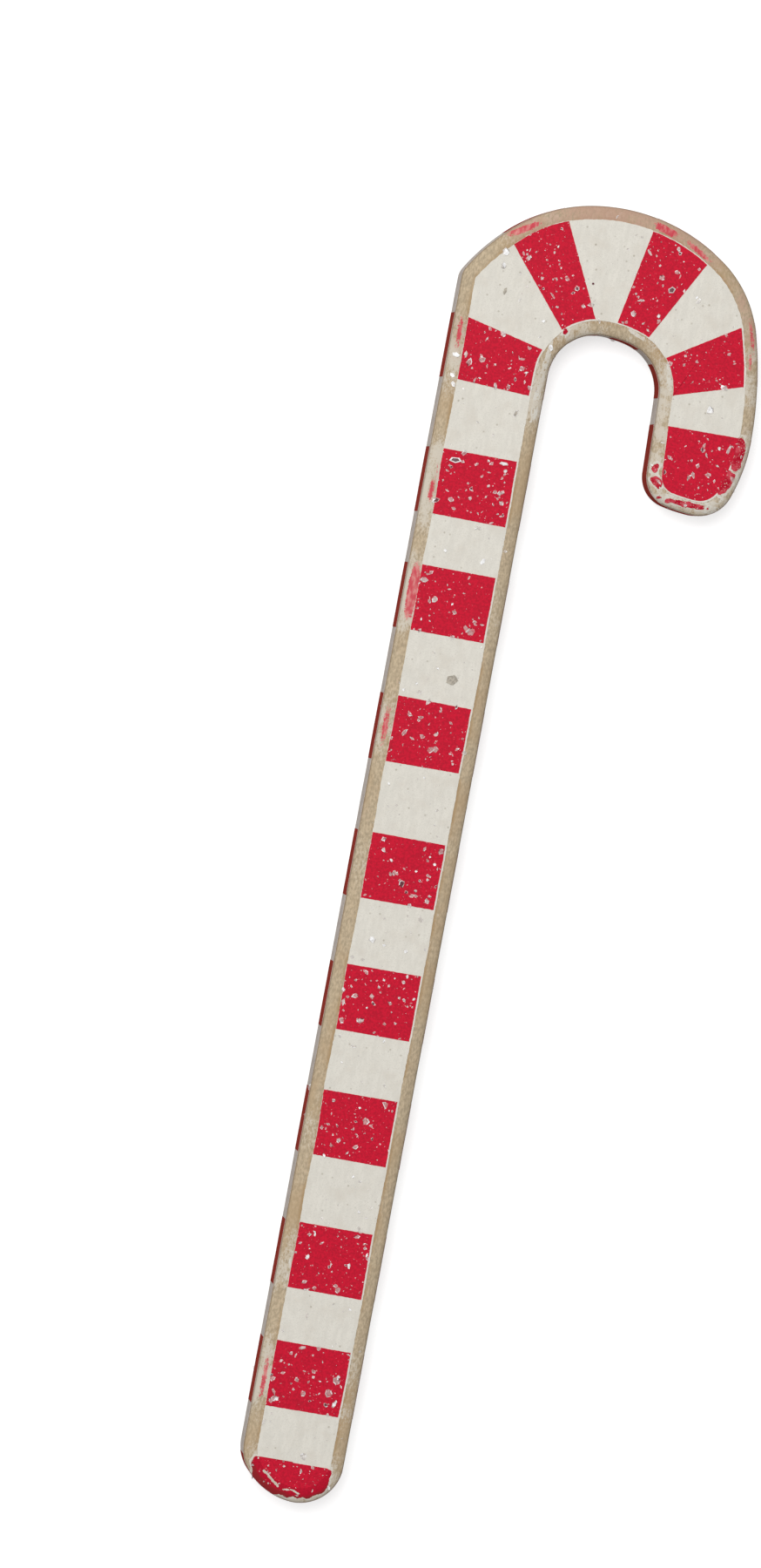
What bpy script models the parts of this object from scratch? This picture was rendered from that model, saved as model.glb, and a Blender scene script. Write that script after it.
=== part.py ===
"""A candy cane ornament, sawn in one piece from thin board, with its edges sanded off on both faces.

It lies on its back. X runs across the shaft towards the hook, Y runs up the shaft and Z comes out
of the shown face. The origin is under the middle of the outline, on the surface the cane lies on.
"""

from math import cos, radians, sin

import bmesh
import bpy
from mathutils import Matrix, Vector

MM = 0.001

# Driving dimensions.
BOARD_THICKNESS = 6.4 * MM
SHAFT_WIDTH = 15.5 * MM
SHAFT_INNER_RUN = 167.2 * MM        # the straight side that faces the hook
SHAFT_OUTER_RUN = 178.8 * MM        # the straight plain side
SANDED_WIDTH = 2.0 * MM             # how far the sanded edge reaches in over a face
SANDED_DEPTH = 1.0 * MM             # how far it reaches down the side
SANDED_STEPS = 4                    # facets across one sanded edge
BEND_STEP = 7.0                     # degrees between the points along a bend
CREASE_ANGLE = 30.0                 # degrees between facets that still shade as one surface
WELD_DISTANCE = 0.001 * MM

# The saw's path round the cane, with the wood on its left, from the foot of the shaft's inner side.
# A run is (length,), a bend is (radius, turn in degrees, left if positive), a corner is (0, turn).
SAW_PATH = (
    (SHAFT_INNER_RUN,),
    (7.4 * MM, -88),        # inside of the crook, over the gap
    (15.3 * MM, -17),
    (7.5 * MM, -73),
    (11.5 * MM,),           # down the inside of the hook
    (4.7 * MM, 76),         # the hook's blunt tip
    (28.3 * MM, 8),
    (5.5 * MM, 75),
    (27.5 * MM, 20),        # up the outside of the hook
    (60.0 * MM, 15),
    (17.4 * MM, 39),        # its shoulder and the top of the crook
    (28.2 * MM, 45),
    (23.0 * MM, 30),
    (29.7 * MM, 21),
    (0, 29),                # the saw was turned here, which left a corner
    (SHAFT_OUTER_RUN,),
    (6.3 * MM, 42),         # the foot, a little lopsided
    (10.6 * MM, 41),
    (6.5 * MM, 97),
)

CREAM_PAINT = (0.68, 0.65, 0.59, 1.0)


def remove_everything():
    """Empty the scene that the script is run in."""
    for thing in list(bpy.data.objects):
        bpy.data.objects.remove(thing, do_unlink=True)


def bend_points(start, heading, radius, turn):
    """The points along one bend after its start, and the heading that it ends on."""
    side = 1.0 if turn > 0 else -1.0
    centre = start + side * radius * Vector((-sin(heading), cos(heading)))
    steps = max(2, round(abs(turn) / BEND_STEP))
    points = []
    for step in range(1, steps + 1):
        angle = heading + radians(turn) * step / steps
        points.append(centre - side * radius * Vector((-sin(angle), cos(angle))))
    return points, heading + radians(turn)


def walk_outline():
    """Corner points of the sawn outline, counter-clockwise, from its first point back to it."""
    points = [Vector((SHAFT_WIDTH / 2, 0.0))]
    heading = radians(90)
    for stretch in SAW_PATH:
        if len(stretch) == 1:
            ahead = Vector((cos(heading), sin(heading)))
            points.append(points[-1] + stretch[0] * ahead)
            continue
        radius, turn = stretch
        if radius == 0:
            heading += radians(turn)
            continue
        along, heading = bend_points(points[-1], heading, radius, turn)
        points.extend(along)
    return points


def closed_outline():
    """The outline with its small closing error shared out, and its middle moved to the origin."""
    points = walk_outline()
    gap = points[0] - points[-1]
    last = len(points) - 1
    points = [point + gap * index / last for index, point in enumerate(points)][:-1]
    across = [point.x for point in points]
    along = [point.y for point in points]
    middle = Vector((min(across) + max(across), min(along) + max(along))) / 2
    return [point - middle for point in points]


def sanded_profile():
    """(inward step, outward step) pairs that take a flat face's rim round the sanded edge."""
    reached = [(0.0, 0.0)]
    for step in range(1, SANDED_STEPS + 1):
        angle = radians(90) * step / SANDED_STEPS
        reached.append((SANDED_WIDTH * (1 - cos(angle)), SANDED_DEPTH * sin(angle)))
    return [(b[0] - a[0], b[1] - a[1]) for a, b in zip(reached, reached[1:])]


def sand_edge(mesh, face):
    """Carry the flat face outward in shrinking steps, which rounds the edge under it."""
    for inward, outward in sanded_profile():
        bmesh.ops.inset_region(
            mesh, faces=[face], thickness=inward, depth=outward,
            use_even_offset=True, use_boundary=True)


def front_half():
    """The half of the board in front of its middle plane, open at that plane."""
    mesh = bmesh.new()
    rim = [mesh.verts.new((point.x, point.y, 0.0)) for point in closed_outline()]
    front = mesh.faces.new(rim)
    walls = bmesh.ops.extrude_edge_only(mesh, edges=list(front.edges))
    grown = [part for part in walls["geom"] if isinstance(part, bmesh.types.BMVert)]
    mesh.faces.remove(front)
    bmesh.ops.translate(mesh, verts=grown, vec=(0.0, 0.0, BOARD_THICKNESS / 2 - SANDED_DEPTH))
    top_rim = [part for part in walls["geom"] if isinstance(part, bmesh.types.BMEdge)]
    filled = bmesh.ops.contextual_create(mesh, geom=top_rim)
    bmesh.ops.recalc_face_normals(mesh, faces=mesh.faces)
    sand_edge(mesh, filled["faces"][0])
    return mesh


def cane_mesh():
    """The cane as a closed mesh, its two faces alike, lying with its back at height zero."""
    mesh = front_half()
    bmesh.ops.mirror(
        mesh, geom=list(mesh.verts) + list(mesh.edges) + list(mesh.faces),
        matrix=Matrix.Identity(4), merge_dist=WELD_DISTANCE, axis="Z")
    bmesh.ops.recalc_face_normals(mesh, faces=mesh.faces)
    bmesh.ops.translate(mesh, verts=mesh.verts, vec=(0.0, 0.0, BOARD_THICKNESS / 2))
    data = bpy.data.meshes.new("cane")
    mesh.to_mesh(data)
    mesh.free()
    return data


def paint():
    """Cream household paint, the colour of the cane's ground coat."""
    material = bpy.data.materials.new("cream_paint")
    material.use_nodes = True
    shader = material.node_tree.nodes["Principled BSDF"]
    shader.inputs["Base Color"].default_value = CREAM_PAINT
    shader.inputs["Roughness"].default_value = 0.5
    shader.inputs["Metallic"].default_value = 0.0
    return material


def build():
    """Make the one object of the model."""
    remove_everything()
    data = cane_mesh()
    data.materials.append(paint())
    cane = bpy.data.objects.new("cane", data)
    bpy.context.scene.collection.objects.link(cane)
    data.shade_smooth()
    data.set_sharp_from_angle(angle=radians(CREASE_ANGLE))


build()
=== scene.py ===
"""A candy cane ornament: a sawn and sanded board, painted in stripes and sprinkled with mica.

Everything is in metres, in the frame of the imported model: X runs across the shaft towards the
hook, Y runs up the shaft and Z comes out of the shown face. The cane lies on its back.
"""

import random
from math import ceil, cos, radians, sin, sqrt

import bmesh
import bpy
from mathutils import Color, Matrix, Vector, noise


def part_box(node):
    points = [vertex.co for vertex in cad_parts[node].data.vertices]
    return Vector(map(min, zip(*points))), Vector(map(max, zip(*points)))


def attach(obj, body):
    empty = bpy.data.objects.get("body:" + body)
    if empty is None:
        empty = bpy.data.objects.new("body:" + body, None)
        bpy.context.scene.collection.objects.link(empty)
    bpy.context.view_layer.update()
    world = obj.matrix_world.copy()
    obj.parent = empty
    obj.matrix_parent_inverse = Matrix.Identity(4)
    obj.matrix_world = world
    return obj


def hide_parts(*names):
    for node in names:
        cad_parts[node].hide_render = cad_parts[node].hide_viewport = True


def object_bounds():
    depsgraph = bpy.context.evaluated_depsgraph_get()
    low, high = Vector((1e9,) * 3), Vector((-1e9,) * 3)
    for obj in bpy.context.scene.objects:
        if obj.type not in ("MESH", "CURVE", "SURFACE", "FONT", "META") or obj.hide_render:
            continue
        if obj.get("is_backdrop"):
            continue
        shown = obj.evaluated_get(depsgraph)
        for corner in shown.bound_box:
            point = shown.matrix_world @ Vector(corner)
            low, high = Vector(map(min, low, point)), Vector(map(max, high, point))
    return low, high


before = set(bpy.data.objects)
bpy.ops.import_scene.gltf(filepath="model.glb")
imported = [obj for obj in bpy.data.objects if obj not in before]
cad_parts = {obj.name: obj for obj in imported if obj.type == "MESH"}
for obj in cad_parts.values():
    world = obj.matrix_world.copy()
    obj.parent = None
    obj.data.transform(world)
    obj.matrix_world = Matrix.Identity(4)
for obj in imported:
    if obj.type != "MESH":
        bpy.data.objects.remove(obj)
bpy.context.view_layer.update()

bl_info = {
    "name": "Painted wooden candy cane",
    "version": (1, 0, 0),
    "blender": (4, 5, 0),
    "location": "3D View > Sidebar > Candy Cane",
    "description": "Makes a sawn, sanded and painted candy cane ornament",
    "category": "Add Mesh",
}

def display(red, green, blue):
    """A colour as a display shows it, from 0 to 255, as a tuple from 0 to 1."""
    return red / 255, green / 255, blue / 255


MM = 0.001
UP = Vector((0.0, 0.0, 1.0))

# The saw's path round the board, with the wood on its left, from the foot of the inner side.
# A run is (length,) and a bend is (radius, turn in degrees, left if positive).
SAW_PATH = (
    (167.2 * MM,),          # up the side that faces the hook
    (7.4 * MM, -88),        # inside of the crook
    (15.3 * MM, -17),
    (7.5 * MM, -73),
    (11.5 * MM,),           # down the inside of the hook
    (4.7 * MM, 76),         # the hook's blunt tip
    (28.3 * MM, 8),
    (5.5 * MM, 75),
    (27.5 * MM, 20),        # up the outside of the hook
    (60.0 * MM, 15),
    (17.4 * MM, 39),        # its shoulder and the top of the crook
    (28.2 * MM, 45),
    (23.0 * MM, 30),
    (29.7 * MM, 19.6),
    (2.6 * MM, 30.4),       # the corner where the saw was turned, rubbed a little round
    (178.1 * MM,),          # down the plain side
    (6.3 * MM, 42),         # the foot
    (10.6 * MM, 41),
    (6.5 * MM, 97),
)
OUTLINE_STEP = 0.35 * MM    # the most between two points of the outline
CLOSING_GAP = 0.05 * MM     # the walk's ends meet within this

BOARD_CREASE = 25.0         # degrees between facets that still shade as one surface
COAT_CREASE = 30.0
FLAKE_CREASE = 5.0

SANDED_STEPS = 8            # facets across a sanded edge
HAND_DRIFTS = ((0.16 * MM, 9 * MM, 1), (0.05 * MM, 2 * MM, 2))    # amount, scale and seed

# The rings of faces from the sawn side to the middle of a face, as the board's "zone" numbers.
WALL = 0
SANDED = range(1, SANDED_STEPS + 1)
FRINGE = SANDED_STEPS + 1
MARGIN = SANDED_STEPS + 2
MIDDLE = SANDED_STEPS + 3
PAINT_EDGE = 0.15 * MM      # how far in from a face's edge the red paint starts
PAINT_MARGIN = 0.4 * MM     # a second ring on the face, for paint that runs over its edge

# The red stripes of the shaft, by the height of their middles, and how tall each is.
STRIPE_HEIGHT = 9.95 * MM
SHAFT_STRIPES = [height * MM for height in (54.8, 37.1, 17.1, -3.7, -23.8, -43.0, -63.3, -81.4)]
FOOT_STRIPE_TOP = -94.2 * MM

# The stripes of the crook, each between two straight brush lines: (outer end, inner end) of the
# line nearer the foot, then of the line nearer the tip, in millimetres.
CROOK_STRIPES = (
    (((-21.8, 70.3), (-10.0, 69.8)), ((-21.8, 79.7), (-9.2, 76.9))),
    (((-17.1, 91.7), (-8.0, 81.0)), ((-9.3, 96.3), (-2.9, 83.1))),
    (((3.2, 97.1), (0.5, 82.9)), ((12.3, 94.3), (5.6, 81.8))),
    (((18.9, 85.7), (8.7, 79.2)), ((21.1, 77.1), (11.2, 74.0))),
    (((21.6, 69.6), (11.6, 69.4)), ((21.6, 50.0), (11.6, 50.0))),
)
STRIPE_REACH = 14.5 * MM    # no part of a stripe is further from its middle
SHAFT_MIDDLE = 7.75 * MM    # from the shaft's plain side to its middle
BRUSH_TILT = 0.06 * MM      # the most that an end of a brush line is off level
MASK_SHIFT = Vector((-0.11, 0.06, 0.0)) * MM    # how far the stripes' mask lay off its place
THIN_RIM = 0.12 * MM        # width of the thin paint round a stripe
RIM_FINISH = 1              # its number among a stripe's finishes, and the sawn side's
SIDE_FINISH = 2
SHORTEST_EDGE = 0.08 * MM   # shorter edges of a patch's outline are welded
FRAYED_PIECE = 0.3 * MM     # a frayed edge is divided into pieces no longer than this
COAT_FRAY = (0.07 * MM, 0.5 * MM)       # how far a coat's edge wanders, and over what length
SIDE_FRAY = (0.05 * MM, 0.8 * MM)
STRIPE_FRAY = (0.045 * MM, 0.35 * MM)
SIDE_STRIPE_FRAY = (0.06 * MM, 0.8 * MM)
COAT_SEED = 11
SIDE_SEED = 15
STRIPE_SEED = 20
SIDE_COAT = 0.04 * MM       # paint on the sawn side
CREAM_FILM = 0.02 * MM      # paint left on the sanded edges
RED_FILM = 0.06 * MM
SOFT_REACH = 0.30 * MM      # how far in from its rim a rubbed trace is at its fullest

# Red paint rubbed soft on the sanded edges, as rounded oblongs: middle x and y, half length and half
# width in millimetres, the long axis's angle, and how much is left, 0 to 1.
SOFT_TRACES = (
    (-22.8, 77.4, 2.6, 0.40, 90, 0.75),     # beside the shaft's stripes, from the top down
    (-22.4, 56.5, 1.2, 0.25, 90, 0.60),
    (-22.6, 53.2, 1.9, 0.45, 90, 0.80),
    (-22.6, 38.0, 4.5, 0.85, 90, 1.00),
    (-22.9, 17.5, 3.2, 0.50, 90, 0.55),
    (-22.8, -82.2, 3.7, 0.40, 90, 0.80),
    (-16.0, 94.3, 2.8, 0.55, 31, 0.90),     # along the top of the crook
    (5.1, 98.2, 2.1, 0.65, -17, 1.00),
    (10.5, 96.0, 2.8, 0.45, -30, 0.70),
    (21.0, 84.8, 2.8, 0.35, -75, 0.65),
    (21.4, 81.2, 1.6, 0.30, -82, 0.75),
)

# Red paint left crisp on the sanded edges, as oblongs in the same way, with how much is left of it
# and of the cream round it, from -1 to 1.
RED_TRACES = (
    (-7.1, 80.3, 0.45, 0.35, 70, 0.60, 0.3),     # under the crook
    (22.15, 67.0, 2.6, 0.90, 88, 0.95, 0.1),     # round the hook's tip
    (21.0, 62.7, 2.0, 1.05, 68, 0.95, 0.2),
    (16.0, 58.35, 3.6, 0.40, -2, 0.65, 0.4),
    (10.2, 62.9, 0.75, 0.50, 70, 0.80, 0.6),
    (10.8, 60.8, 1.0, 0.65, -45, 0.60, 0.6),
)

# The red that runs over the sanded edge of the foot and the scratches in it, as oblongs too.
FOOT_RED = (-16.2, -94.4, 6.0, 5.0, 0)
FOOT_SCRATCHES = (
    (-19.1, -97.0, 1.6, 0.16, -38),
    (-16.6, -98.35, 0.8, 0.10, 4),
    (-14.9, -98.5, 0.9, 0.12, -18),
)

# Cream paint left on the sanded edges, as oblongs too.
CREAM_TRACES = (
    (-9.5, 68.4, 2.4, 0.60, 90),
    (-9.1, 75.5, 5.0, 0.45, 86),
    (-22.2, -65.6, 2.3, 0.18, 90),
    (16.5, 59.2, 4.6, 0.28, 1),
    (10.6, 61.5, 2.4, 0.50, -65),
    (21.8, 61.6, 2.4, 0.25, 62),
    (-8.3, 81.0, 1.2, 0.50, 60),
    (9.7, 76.8, 2.4, 0.45, 104),
    (3.5, 82.0, 1.5, 0.30, -22),
)

# Where the sanded edges are whitish with primer and rosy with rubbed paint, as soft round areas:
# middle x and y and reach in millimetres, and strength.
PRIMER_AREAS = (
    (-22.6, 74.0, 7.5, 0.60),     # down the plain side of the shaft
    (-22.6, 54.5, 8.5, 0.75),
    (-22.6, 38.0, 7.5, 0.75),
    (-22.6, 17.5, 6.0, 0.50),
    (-22.6, -4.0, 6.0, 0.20),
    (-22.6, -44.0, 6.0, 0.25),
    (-22.6, -64.5, 6.5, 0.50),
    (-22.6, -82.0, 8.0, 0.65),
    (-16.0, -99.0, 11.0, 0.70),   # round the foot
    (-9.5, -82.0, 9.0, 0.35),     # up its inner side
    (-9.5, 36.0, 6.0, 0.20),
    (-9.5, 71.0, 8.0, 0.55),
    (-5.5, 82.0, 6.5, 0.55),      # under the crook
    (5.0, 82.5, 5.0, 0.30),
    (9.8, 71.0, 12.0, 0.60),
    (13.0, 58.5, 8.0, 0.60),      # round the hook's tip
    (21.5, 64.0, 10.0, 0.60),
    (23.0, 80.0, 10.0, 0.40),
    (15.0, 95.0, 10.0, 0.15),     # over the crook
    (-1.0, 99.0, 12.0, 0.10),
    (-15.5, 95.0, 7.0, 0.25),
)
ROSY_AREAS = (
    (-4.0, 100.0, 13.0, 0.85),
    (9.0, 98.0, 9.0, 0.65),
    (20.5, 88.0, 10.0, 0.45),
    (-15.5, 95.5, 6.0, 0.60),
    (-23.5, 77.0, 5.0, 0.40),
    (22.5, 66.0, 6.0, 0.45),
)

# Ragged patterns of wear: the size of their features and a seed.
STREAKS = (2.4 * MM, 47)
FINE_STREAKS = (0.9 * MM, 48)
ROSY_CLOUDS = (1.7 * MM, 49)
RED_EDGE = (0.8 * MM, 41)
RED_WEAR = (0.5 * MM, 42)
BROAD_RED_WEAR = (1.3 * MM, 43)
CREAM_EDGE = (0.8 * MM, 44)
CREAM_WEAR = (0.35 * MM, 45)
FOOT_EDGE = (1.1 * MM, 51)
FINE_FOOT_EDGE = (0.4 * MM, 52)
FOOT_LINE = (1.0 * MM, 53)
FINE_CREAM_EDGE = (0.5 * MM, 54)

# Mica: each kind's name, its share of the number set, its corners, its smallest and largest
# span, and its most tilt in degrees.
FLAKE_KINDS = (
    ("mica_shards", 0.75, 6, (0.30 * MM, 1.45 * MM), 8.0),
    ("mica_slivers", 0.85, 4, (0.20 * MM, 0.95 * MM), 15.0),
    ("mica_dust", 1.6, 3, (0.10 * MM, 0.30 * MM), 25.0),
)
FLAKE_THICKNESS = 0.04      # of a flake's span
FLAKE_RIM = 0.13            # of a flake's span
FLAKE_LIFT = 0.012 * MM     # gap under a flake, where the glue is
FEW_LARGE = 2.4             # the higher, the fewer large flakes
FLAKES_HELD = {"red": 1.0, "cream": 0.20, "sanded": 0.02}    # where the wet paint held them
FLAT_ENOUGH = 0.8           # how level the surface is where a flake stays, 1 for quite level
SPOT_SEEDS = {1: 61, -1: 81}    # for the front and the back
FLAKE_SEED = 70
RAY_RUN = 10 * MM           # how far over the cane the search for a flake's place starts
CLEAR, PALE, PAINTED_GLINT, PAINTED_DARK_REFLECTION, GREY = range(5)    # the looks of a facet, in the order of MICA_LOOKS
FACET_LOOKS = (CLEAR, PALE, PAINTED_GLINT, PAINTED_DARK_REFLECTION)
# How often each look falls on a flake's middle, rim and side: the painted glints come most on the rims,
# and the painted dark reflections on the middles.
FACET_SHARES = {"middle": (56, 24, 10, 10), "rim": (30, 42, 24, 4), "side": (1, 0, 0, 0)}

# The largest flakes of the face: middle x and y, length and width in millimetres, angle, and what
# their middle and rim look like.
LARGE_FLAKES = (
    (-14.3, 25.9, 1.9, 1.6, 20, GREY, GREY),
    (-22.7, 73.9, 1.3, 0.7, 80, PAINTED_GLINT, PAINTED_GLINT),
    (-22.7, 70.8, 0.9, 0.6, 60, PAINTED_GLINT, PAINTED_GLINT),
    (-22.3, 69.5, 1.0, 0.6, 30, PALE, PAINTED_GLINT),
    (-8.8, 77.6, 1.1, 0.7, 50, PAINTED_GLINT, PAINTED_GLINT),
    (-19.9, 58.4, 2.0, 0.9, 5, PAINTED_DARK_REFLECTION, PAINTED_GLINT),
    (-12.6, 59.2, 1.5, 0.6, 0, PAINTED_GLINT, PALE),
    (-13.0, 44.2, 1.2, 0.6, 62, PAINTED_GLINT, PAINTED_GLINT),
    (-12.2, 66.9, 1.5, 0.6, 70, GREY, PALE),
    (-4.3, 88.2, 0.4, 0.4, 0, PAINTED_DARK_REFLECTION, PAINTED_DARK_REFLECTION),
    (7.6, 89.5, 1.3, 1.0, 40, PAINTED_DARK_REFLECTION, PALE),
    (-17.2, 84.6, 1.2, 0.5, 80, GREY, GREY),
)
LARGE_CORNERS = 5

# Shades within the finishes, beside the colours that a maker would choose.
BROWN_WOOD = (0.69, 0.59, 0.46)
DARK_WOOD = (0.63, 0.52, 0.38)
# Painted shade: darker wood along the outer rim, where the sanded edge turns down to the sawn side.
SHADED_EDGE_WOOD = (0.52, 0.44, 0.35)
ROSY_WOOD = (0.71, 0.565, 0.50)
PALE_RED = (0.83, 0.55, 0.53)
FOOT_RIM_RED = (0.56, 0.13, 0.15)
STAINED_CREAM = (0.81, 0.785, 0.74)
GREY_FLECK = (0.60, 0.57, 0.51)
DARK_MOTTLE = display(158, 22, 42)
PALE_DUST = display(222, 120, 130)
ORANGE_GROUND = display(205, 98, 70)
PINK_PRIMER = display(206, 170, 160)
CLOUD_ROUGHNESS = 0.55      # of every grain's fine detail

# The looks of a mica facet: its material's name, colour, how opaque it is, and its roughness.
MICA_LOOKS = (
    ("clear_mica", display(228, 220, 216), 0.22, 0.3),      # shows the paint under it
    ("pale_mica", display(238, 232, 228), 0.5, 0.4),        # with a few cloudy layers
    ("bright_mica", display(250, 248, 246), 0.92, 0.3),     # a painted glint: white, as where the flake would flash
    ("dark_mica", display(96, 36, 48), 0.7, 0.3),           # a painted dark reflection of the dark round it
    ("grey_mica", display(176, 168, 154), 0.85, 0.4),       # thick, and greyish tan
)

# The stage: floor, lamp and camera.
FLOOR_SIZE = 4.0
FLOOR_WHITE = (208, 208, 208)
FLOOR_BOUNCE = (188, 188, 188)
FLOOR_GLOW = 0.6
FLOOR_HEIGHT = -0.17 * MM       # clear of the mica on the cane's back
ROOM_LIGHT = 0.46
LAMP_PLACE = Vector((-0.42, 0.42, 1.05))
LAMP_SIZE = 0.8
LAMP_POWER = 11.0
CAMERA_AIM = Vector((-21.9, 8.6, 5.4)) * MM
CAMERA_EYE = Vector((-147.0, 32.0, 990.0)) * MM
CAMERA_ROLL = radians(10.66)
VIEW_HEIGHT = 235.3 * MM    # height of the picture where the cane lies


class CaneSizes(bpy.types.PropertyGroup):
    """Sizes of the cane that its maker would choose."""

    thickness: bpy.props.FloatProperty(
        name="Board thickness", description="Thickness of the board with its paint",
        default=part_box("cane")[1].z, unit="LENGTH")
    sanded_width: bpy.props.FloatProperty(
        name="Sanded width", description="How far a sanded edge reaches in over a face",
        default=2.0 * MM, unit="LENGTH")
    sanded_depth: bpy.props.FloatProperty(
        name="Sanded depth", description="How far a sanded edge reaches down the side",
        default=1.0 * MM, unit="LENGTH")
    ground_coat: bpy.props.FloatProperty(
        name="Ground coat", description="Thickness of the cream ground coat",
        default=0.05 * MM, unit="LENGTH")
    stripe_coat: bpy.props.FloatProperty(
        name="Stripe coat", description="Thickness of the red paint over the ground coat",
        default=0.03 * MM, unit="LENGTH")
    flakes: bpy.props.IntProperty(
        name="Mica flakes", description="Flakes on each face of a kind whose share is 1",
        default=620, min=0, max=2000)


class CaneColours(bpy.types.PropertyGroup):
    """Colours of the cane's finishes, as a display shows them."""

    wood: bpy.props.FloatVectorProperty(
        name="Bare wood", description="Sanded wood of the edges",
        default=display(180, 163, 137), subtype="COLOR_GAMMA")
    primer: bpy.props.FloatVectorProperty(
        name="Primer", description="Greyed primer left in the wood's grain",
        default=display(202, 194, 180), subtype="COLOR_GAMMA")
    cream: bpy.props.FloatVectorProperty(
        name="Cream paint", description="Ground coat on the faces",
        default=display(215, 211, 201), subtype="COLOR_GAMMA")
    # Painted shade: a darker, greyer copy of the face's cream, standing for the shade on the sawn sides.
    side_cream: bpy.props.FloatVectorProperty(
        name="Side cream", description="Ground coat on the sawn sides, greyer with handling",
        default=display(204, 194, 186), subtype="COLOR_GAMMA")
    red: bpy.props.FloatVectorProperty(
        name="Red paint", description="Paint of the stripes",
        default=display(190, 12, 44), subtype="COLOR_GAMMA")
    # Painted shade: a darker, browner copy of the stripes' red, standing for the shade on the sawn
    # sides.
    side_red: bpy.props.FloatVectorProperty(
        name="Side red", description="Red paint on the sawn sides, browner with handling",
        default=display(158, 62, 52), subtype="COLOR_GAMMA")
    worn_red: bpy.props.FloatVectorProperty(
        name="Worn red", description="Red paint rubbed thin on the sanded edges",
        default=display(196, 66, 80), subtype="COLOR_GAMMA")


def sizes():
    """The cane's sizes in the open scene."""
    return bpy.context.scene.cane_sizes


def colours():
    """The cane's colours in the open scene."""
    return bpy.context.scene.cane_colours


# ---------------------------------------------------------------- modelling


def deselect():
    """Leave nothing selected, so that an operator acts on the new piece alone."""
    bpy.ops.object.select_all(action="DESELECT")


def choose(piece):
    """Make a piece the only one that operators act on."""
    deselect()
    piece.select_set(True)
    bpy.context.view_layer.objects.active = piece


def work_on(piece):
    """Open one piece in edit mode, with nothing selected inside."""
    choose(piece)
    bpy.ops.object.mode_set(mode="EDIT")
    bpy.ops.mesh.select_all(action="DESELECT")


def stop_work():
    """Leave edit mode."""
    bpy.ops.object.mode_set(mode="OBJECT")


def pick(piece, wanted, kind="faces"):
    """In edit mode, select the faces, edges or vertices that a test accepts, and count them."""
    bpy.context.tool_settings.mesh_select_mode = [kind == name for name in ("verts", "edges", "faces")]
    bpy.ops.mesh.select_all(action="DESELECT")
    mesh = bmesh.from_edit_mesh(piece.data)
    chosen = [part for part in getattr(mesh, kind) if wanted(part)]
    for part in chosen:
        part.select_set(True)
    mesh.select_flush_mode()
    bmesh.update_edit_mesh(piece.data)
    return len(chosen)


def pick_zones(piece, zones, side=0):
    """In edit mode, select the faces of some zones, on the front (1), the back (-1) or both (0)."""
    zone = bmesh.from_edit_mesh(piece.data).faces.layers.int["zone"]
    middle = sizes().thickness / 2
    return pick(piece, lambda face: face[zone] in zones
                and (face.calc_center_median().z - middle) * side >= 0)


def set_zone(piece, number):
    """In edit mode, write a zone number on the selected faces."""
    mesh = bmesh.from_edit_mesh(piece.data)
    zone = mesh.faces.layers.int["zone"]
    for face in mesh.faces:
        if face.select:
            face[zone] = number
    bmesh.update_edit_mesh(piece.data)


def copy_of(piece, name):
    """A copy of a piece, with its own mesh."""
    data = piece.data.copy()
    data.name = name
    data.materials.clear()
    twin = bpy.data.objects.new(name, data)
    bpy.context.scene.collection.objects.link(twin)
    return twin


def sheet_of(piece, name, zones, side=0):
    """A copy of a piece that keeps only the faces of some zones, on one side or both."""
    sheet = copy_of(piece, name)
    work_on(sheet)
    if not pick_zones(sheet, zones, side):
        raise RuntimeError(f"there are no faces for {name}")
    bpy.ops.mesh.select_all(action="INVERT")
    bpy.ops.mesh.delete(type="FACE")
    stop_work()
    return sheet


def thicken(piece, thickness):
    """Give a sheet its thickness, outward from the surface it lies on."""
    coat = piece.modifiers.new("coat", "SOLIDIFY")
    coat.thickness = thickness
    coat.offset = 1.0
    choose(piece)
    bpy.ops.object.modifier_apply(modifier=coat.name)


def shade(piece, degrees):
    """Shade the round parts smooth and keep the corners crisp."""
    choose(piece)
    bpy.ops.object.shade_smooth_by_angle(angle=radians(degrees))


def join(pieces, name):
    """Join pieces into the first one, under one name."""
    deselect()
    for piece in pieces:
        piece.select_set(True)
    bpy.context.view_layer.objects.active = pieces[0]
    bpy.ops.object.join()
    pieces[0].name = name
    pieces[0].data.name = name
    return pieces[0]


def give_materials(piece, materials):
    """Put materials on a piece in their order, unless it has them already."""
    for material in materials:
        if material.name not in piece.data.materials:
            piece.data.materials.append(material)


def finish(piece, materials, smooth=COAT_CREASE):
    """Shade a piece, give it its materials and put it on the cane."""
    give_materials(piece, materials)
    shade(piece, smooth)
    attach(piece, "root")


def wobble(place, scale, seed):
    """A smooth random sideways vector, each part from -1 to 1, that changes over scale metres."""
    at = place / scale + Vector((seed * 7.3, seed * 3.1, seed * 5.7))
    return Vector((noise.noise(at), noise.noise(at + Vector((31.4, 17.7, 9.2))), 0.0))


def ragged(place, scale, seed):
    """A smooth random number from -1 to 1 that changes over scale metres."""
    return wobble(place, scale, seed).x


def fray(piece, amount, scale, seed):
    """Make the open edges of a sheet uneven: sideways on a face, and inward in height on a side."""
    middle = sizes().thickness / 2
    mesh = bmesh.new()
    mesh.from_mesh(piece.data)
    mesh.normal_update()
    for vert in mesh.verts:
        if not vert.is_boundary:
            continue
        if abs(vert.normal.z) > 0.5:
            vert.co += amount * wobble(vert.co, scale, seed)
        else:
            broad = 2.5 * ragged(vert.co, 4 * scale, seed)
            worn = amount * (1.5 + broad + ragged(vert.co, scale, seed))
            vert.co.z += worn if vert.co.z < middle else -worn
    mesh.to_mesh(piece.data)
    mesh.free()


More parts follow.
